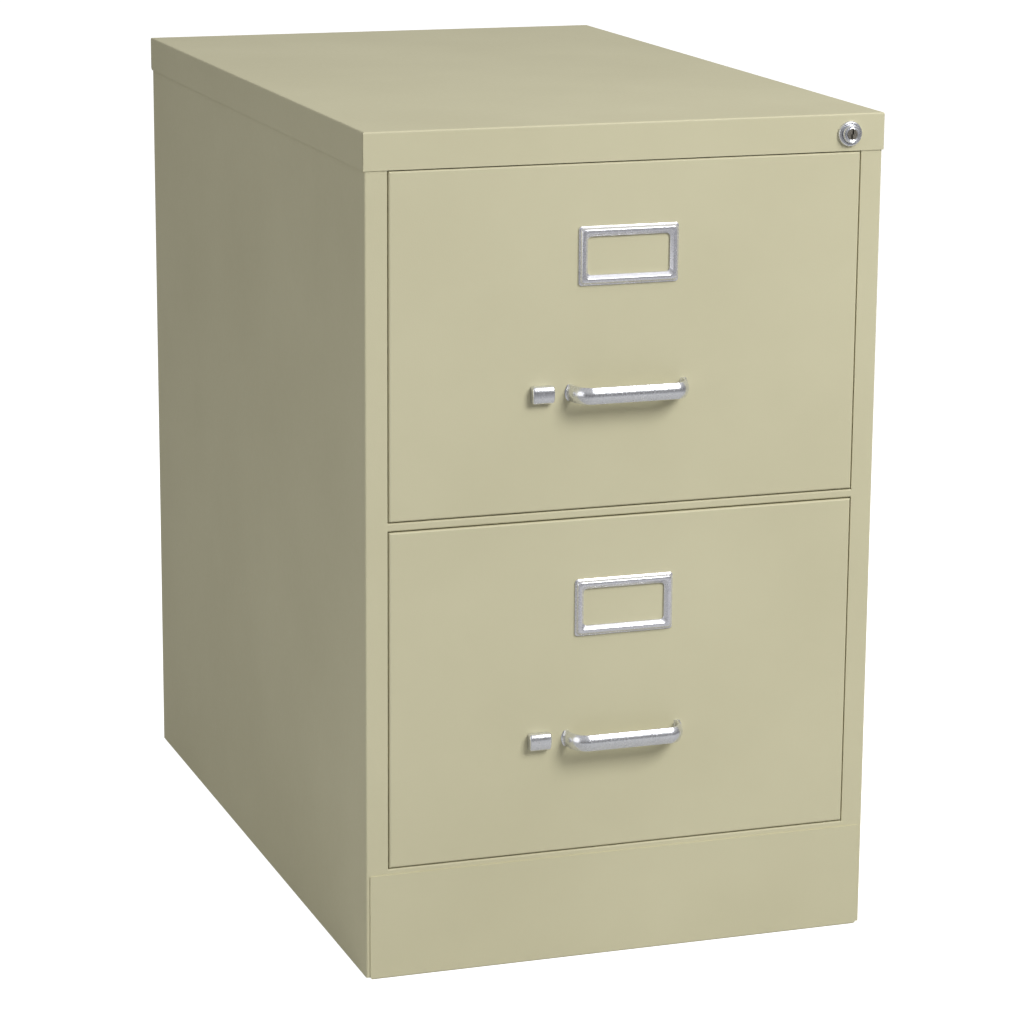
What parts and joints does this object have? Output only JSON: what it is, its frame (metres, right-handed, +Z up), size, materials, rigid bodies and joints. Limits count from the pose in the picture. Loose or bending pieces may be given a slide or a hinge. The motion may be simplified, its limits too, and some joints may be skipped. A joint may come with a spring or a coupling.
{
  "type": "vertical filing cabinet",
  "caption": "Putty-painted steel vertical filing cabinet: stacked full-extension drawers on ball-bearing slides, bow handles, thumb latches, label holders and a push lock.",
  "frame": {"origin": "On the floor, at the middle of the overall box, which reaches from the rear of the top cap to the front of the handles.", "axes": "+Z up; the drawer fronts face -Y and the drawers open towards -Y; +X is to the right of someone facing the drawers."},
  "size_m": [0.4572, 0.748, 0.7207],
  "materials": {
    "putty_paint": "putty powder coat with a fine orange-peel texture, semi-matt",
    "zinc_plate": "bright zinc-plated steel",
    "chrome_plate": "satin chrome plate on die-cast zinc",
    "satin_aluminium": "satin aluminium",
    "spring_steel": "oiled spring steel",
    "key_steel": "nickel plate"
  },
  "bodies": {
    "case": {"left_side_panel": "putty_paint", "right_side_panel": "putty_paint", "back_panel": "putty_paint", "top_cap": "putty_paint", "kick_panel": "putty_paint", "middle_rail": "putty_paint", "header_rail": "putty_paint", "base_front_rail": "putty_paint", "base_rear_rail": "putty_paint", "front_left_upright": "zinc_plate", "front_right_upright": "zinc_plate", "rear_left_upright": "zinc_plate", "rear_right_upright": "zinc_plate", "upper_left_case_slide": "zinc_plate", "upper_right_case_slide": "zinc_plate", "lower_left_case_slide": "zinc_plate", "lower_right_case_slide": "zinc_plate", "lock_housing": "chrome_plate", "lock_clip": "spring_steel", "lever_bracket": "zinc_plate"},
    "upper_drawer": {"upper_drawer_front": "putty_paint", "upper_drawer_liner": "putty_paint", "upper_drawer_bottom": "putty_paint", "upper_drawer_left_side": "putty_paint", "upper_drawer_right_side": "putty_paint", "upper_drawer_back": "putty_paint", "upper_left_drawer_slide": "zinc_plate", "upper_right_drawer_slide": "zinc_plate", "upper_label_holder": "satin_aluminium", "upper_handle": "chrome_plate", "upper_handle_screws": "zinc_plate", "upper_latch_spring": "spring_steel"},
    "upper_middle_slides": {"upper_left_middle_slide": "zinc_plate", "upper_right_middle_slide": "zinc_plate"},
    "upper_outer_cages": {"upper_outer_ball_cages": "spring_steel"},
    "upper_inner_cages": {"upper_inner_ball_cages": "spring_steel"},
    "upper_latch": {"upper_thumb_latch": "chrome_plate", "upper_latch_bar": "zinc_plate"},
    "lower_drawer": {"lower_drawer_front": "putty_paint", "lower_drawer_liner": "putty_paint", "lower_drawer_bottom": "putty_paint", "lower_drawer_left_side": "putty_paint", "lower_drawer_right_side": "putty_paint", "lower_drawer_back": "putty_paint", "lower_left_drawer_slide": "zinc_plate", "lower_right_drawer_slide": "zinc_plate", "lower_label_holder": "satin_aluminium", "lower_handle": "chrome_plate", "lower_handle_screws": "zinc_plate", "lower_latch_spring": "spring_steel"},
    "lower_middle_slides": {"lower_left_middle_slide": "zinc_plate", "lower_right_middle_slide": "zinc_plate"},
    "lower_outer_cages": {"lower_outer_ball_cages": "spring_steel"},
    "lower_inner_cages": {"lower_inner_ball_cages": "spring_steel"},
    "lower_latch": {"lower_thumb_latch": "chrome_plate", "lower_latch_bar": "zinc_plate"},
    "lock_plunger": {"lock_plunger": "chrome_plate"},
    "key_plug": {"key_plug": "key_steel"},
    "lock_lever": {"lock_lever": "zinc_plate"},
    "lock_bar": {"lock_bar": "zinc_plate"}
  },
  "joints": [
    {"name": "upper_drawer_slide", "type": "slide", "parent": "case", "child": "upper_drawer", "axis": [0, -1, 0], "range_m": [0, 0.62]},
    {"name": "upper_middle_slides_slide", "type": "slide", "parent": "case", "child": "upper_middle_slides", "axis": [0, -1, 0], "range_m": [0, 0.31]},
    {"name": "upper_outer_cages_slide", "type": "slide", "parent": "case", "child": "upper_outer_cages", "axis": [0, -1, 0], "range_m": [0, 0.155]},
    {"name": "upper_inner_cages_slide", "type": "slide", "parent": "case", "child": "upper_inner_cages", "axis": [0, -1, 0], "range_m": [0, 0.465]},
    {"name": "upper_latch_slide", "type": "slide", "parent": "upper_drawer", "child": "upper_latch", "axis": [1, 0, 0], "range_m": [0, 0.0065], "stiffness_N_per_m": 400, "springref_m": -0.005, "deforming": ["upper_latch_spring"]},
    {"name": "lower_drawer_slide", "type": "slide", "parent": "case", "child": "lower_drawer", "axis": [0, -1, 0], "range_m": [0, 0.62]},
    {"name": "lower_middle_slides_slide", "type": "slide", "parent": "case", "child": "lower_middle_slides", "axis": [0, -1, 0], "range_m": [0, 0.31]},
    {"name": "lower_outer_cages_slide", "type": "slide", "parent": "case", "child": "lower_outer_cages", "axis": [0, -1, 0], "range_m": [0, 0.155]},
    {"name": "lower_inner_cages_slide", "type": "slide", "parent": "case", "child": "lower_inner_cages", "axis": [0, -1, 0], "range_m": [0, 0.465]},
    {"name": "lower_latch_slide", "type": "slide", "parent": "lower_drawer", "child": "lower_latch", "axis": [1, 0, 0], "range_m": [0, 0.0065], "stiffness_N_per_m": 400, "springref_m": -0.005, "deforming": ["lower_latch_spring"]},
    {"name": "lock_push", "type": "slide", "parent": "case", "child": "lock_plunger", "axis": [0, 1, 0], "range_m": [0, 0.0055], "stiffness_N_per_m": 300, "springref_m": -0.005},
    {"name": "key_turn", "type": "hinge", "parent": "lock_plunger", "child": "key_plug", "pos_m": [0.1968, -0.34995, 0.7039], "axis": [0, 1, 0], "range_deg": [0, 90]},
    {"name": "lever_tilt", "type": "hinge", "parent": "case", "child": "lock_lever", "pos_m": [0.1968, -0.31355, 0.6952], "axis": [-1, 0, 0], "range_deg": [0, 42]},
    {"name": "lock_bar_lift", "type": "slide", "parent": "case", "child": "lock_bar", "axis": [0, 0, 1], "range_m": [0, 0.007]}
  ],
  "couplings": [
    {"joint": "upper_middle_slides_slide", "follows": "upper_drawer_slide", "ratio": 0.5},
    {"joint": "upper_outer_cages_slide", "follows": "upper_drawer_slide", "ratio": 0.25},
    {"joint": "upper_inner_cages_slide", "follows": "upper_drawer_slide", "ratio": 0.75},
    {"joint": "lower_middle_slides_slide", "follows": "lower_drawer_slide", "ratio": 0.5},
    {"joint": "lower_outer_cages_slide", "follows": "lower_drawer_slide", "ratio": 0.25},
    {"joint": "lower_inner_cages_slide", "follows": "lower_drawer_slide", "ratio": 0.75},
    {"joint": "lever_tilt", "follows": "lock_push", "rad_per_m": 133.28},
    {"joint": "lock_bar_lift", "follows": "lock_push", "ratio": 1.2727}
  ]
}
